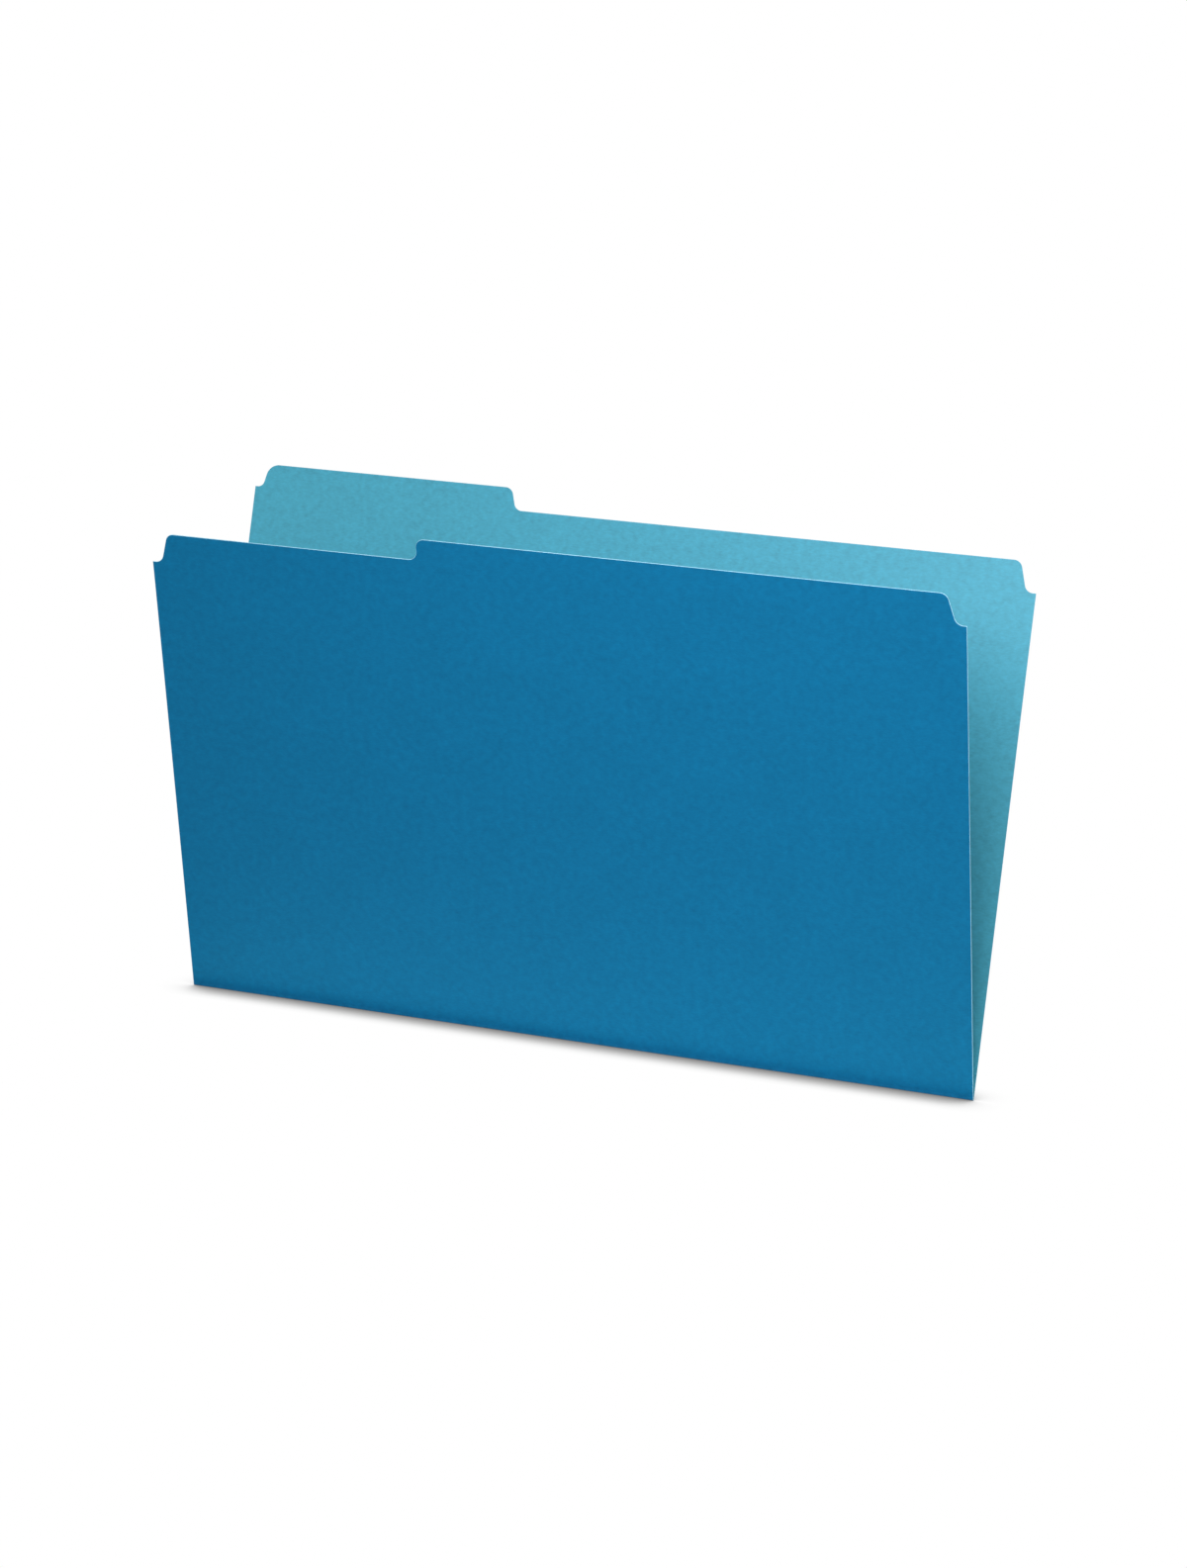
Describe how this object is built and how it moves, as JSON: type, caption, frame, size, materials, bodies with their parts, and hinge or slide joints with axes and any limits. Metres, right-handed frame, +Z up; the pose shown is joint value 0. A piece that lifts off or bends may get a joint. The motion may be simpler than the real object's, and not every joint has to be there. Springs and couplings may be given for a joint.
{
  "type": "file folder",
  "caption": "Legal-size card file folder standing open in a V: two flaps that turn on one scored fold, with an index tab at the left of the back flap and an undercut front.",
  "frame": {"origin": "middle of the fold, on the surface that it stands on, below the fold axis", "axes": "+X along the fold, to the right as the tab is read, +Y from the front flap to the back flap, +Z up"},
  "size_m": [0.3746, 0.1055, 0.2353],
  "materials": {
    "outer_coat": "matte",
    "bare_card": "matte"
  },
  "bodies": {
    "crease": {"fold_crease": "outer_coat"},
    "front": {"front_flap": "outer_coat"},
    "back": {"back_flap": "bare_card"}
  },
  "joints": [
    {"name": "front_fold", "type": "hinge", "parent": "crease", "child": "front", "pos_m": [0, 0, 0.00053], "axis": [1, 0, 0], "range_deg": [-12.8, 77.2]},
    {"name": "back_fold", "type": "hinge", "parent": "crease", "child": "back", "pos_m": [0, 0, 0.00053], "axis": [-1, 0, 0], "range_deg": [-12.8, 77.2]}
  ],
  "couplings": [
    {"joint": "back_fold", "follows": "front_fold", "ratio": 1}
  ]
}
